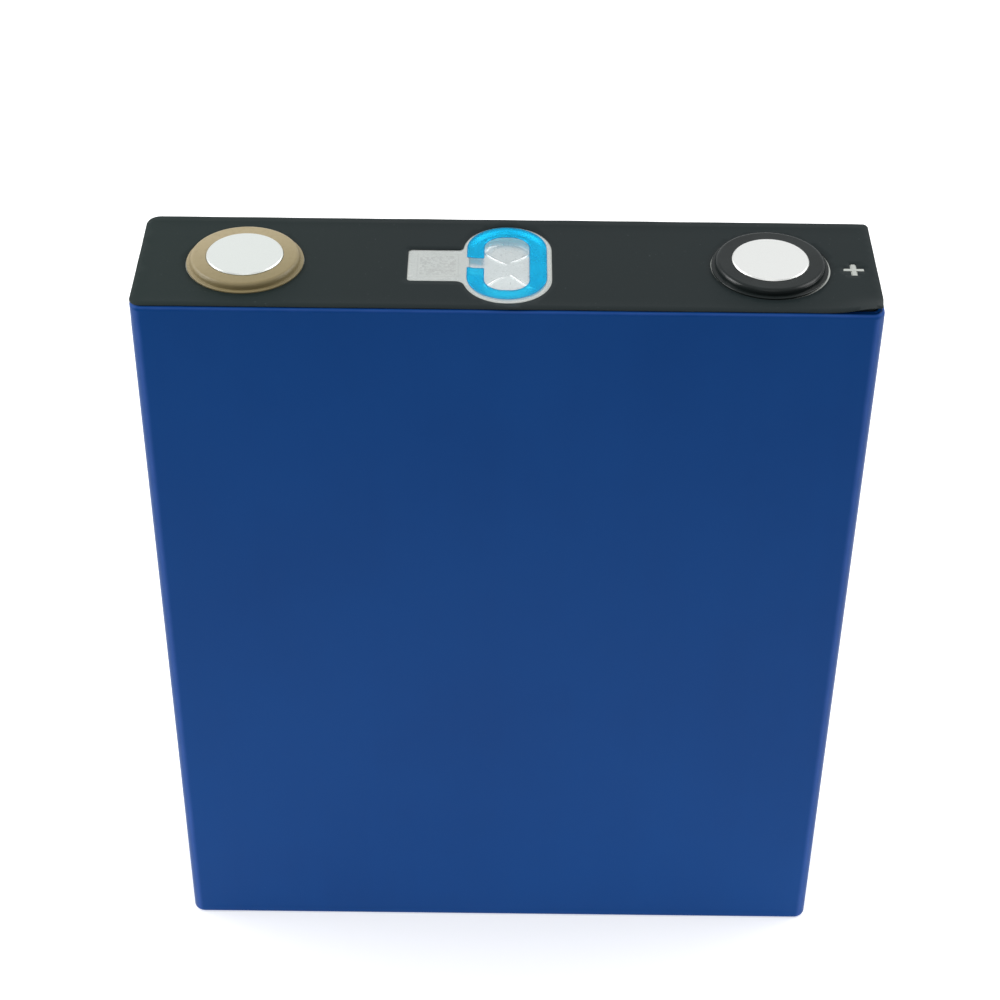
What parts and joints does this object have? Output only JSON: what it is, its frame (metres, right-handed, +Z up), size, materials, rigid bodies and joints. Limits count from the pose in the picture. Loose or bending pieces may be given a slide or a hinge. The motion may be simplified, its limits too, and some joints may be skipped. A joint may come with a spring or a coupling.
{
  "type": "prismatic battery cell",
  "caption": "Tall flat prismatic lithium battery cell in blue film, with round weld-pad terminals, a burst vent in the black lid film, and wound rolls inside a sealed aluminium can.",
  "frame": {"origin": "centre of the base, on the plane the cell stands on", "axes": "+Z up, out of the terminals; +X from the negative terminal towards the positive one; -Y out of the front wide face, +Y out of the rear wide face"},
  "size_m": [0.174, 0.04, 0.207],
  "materials": {
    "blue_film": "semi-gloss blue insulating film",
    "black_film": "matt black insulating film",
    "can_aluminium": "drawn, plain",
    "lid_aluminium": "pressed, plain",
    "vent_aluminium": "bright",
    "clear_film": "clear glossy film",
    "cyan_ring": "bright blue printed film",
    "seal_rubber": "moulded",
    "black_insulator": "moulded, satin",
    "tan_insulator": "moulded, satin",
    "terminal_aluminium": "turned, satin",
    "copper": "plain copper",
    "inner_insulator": "natural polypropylene",
    "collector_aluminium": "stamped",
    "graphite_anode": "graphite coat on copper foil",
    "phosphate_cathode": "phosphate coat on aluminium foil",
    "separator_film": "white microporous film",
    "foil_aluminium": "thin foil",
    "foil_copper": "thin copper foil",
    "roll_tape": "green adhesive tape",
    "bag_film": "translucent film"
  },
  "bodies": {
    "root": {"back_roll_anode": "graphite_anode", "back_roll_cathode": "phosphate_cathode", "back_roll_negative_tabs": "foil_copper", "back_roll_positive_tabs": "foil_aluminium", "back_roll_separators": "separator_film", "back_roll_tape": "roll_tape", "base_support_plate": "inner_insulator", "can": "can_aluminium", "fill_port_cap": "lid_aluminium", "fill_port_plug": "seal_rubber", "front_roll_anode": "graphite_anode", "front_roll_cathode": "phosphate_cathode", "front_roll_negative_tabs": "foil_copper", "front_roll_positive_tabs": "foil_aluminium", "front_roll_separators": "separator_film", "front_roll_tape": "roll_tape", "insulation_bag": "bag_film", "lid": "lid_aluminium", "negative_collector": "copper", "negative_inner_insulator": "inner_insulator", "negative_outer_insulator": "tan_insulator", "negative_seal": "seal_rubber", "negative_terminal_pad": "terminal_aluminium", "negative_terminal_post": "copper", "outer_wrap": "blue_film", "positive_collector": "collector_aluminium", "positive_inner_insulator": "inner_insulator", "positive_outer_insulator": "black_insulator", "positive_seal": "seal_rubber", "positive_terminal": "terminal_aluminium", "top_film": "black_film", "vent_cover_blue_ring": "cyan_ring", "vent_cover_film": "clear_film", "vent_grille": "inner_insulator", "vent_membrane": "vent_aluminium"}
  },
  "joints": []
}
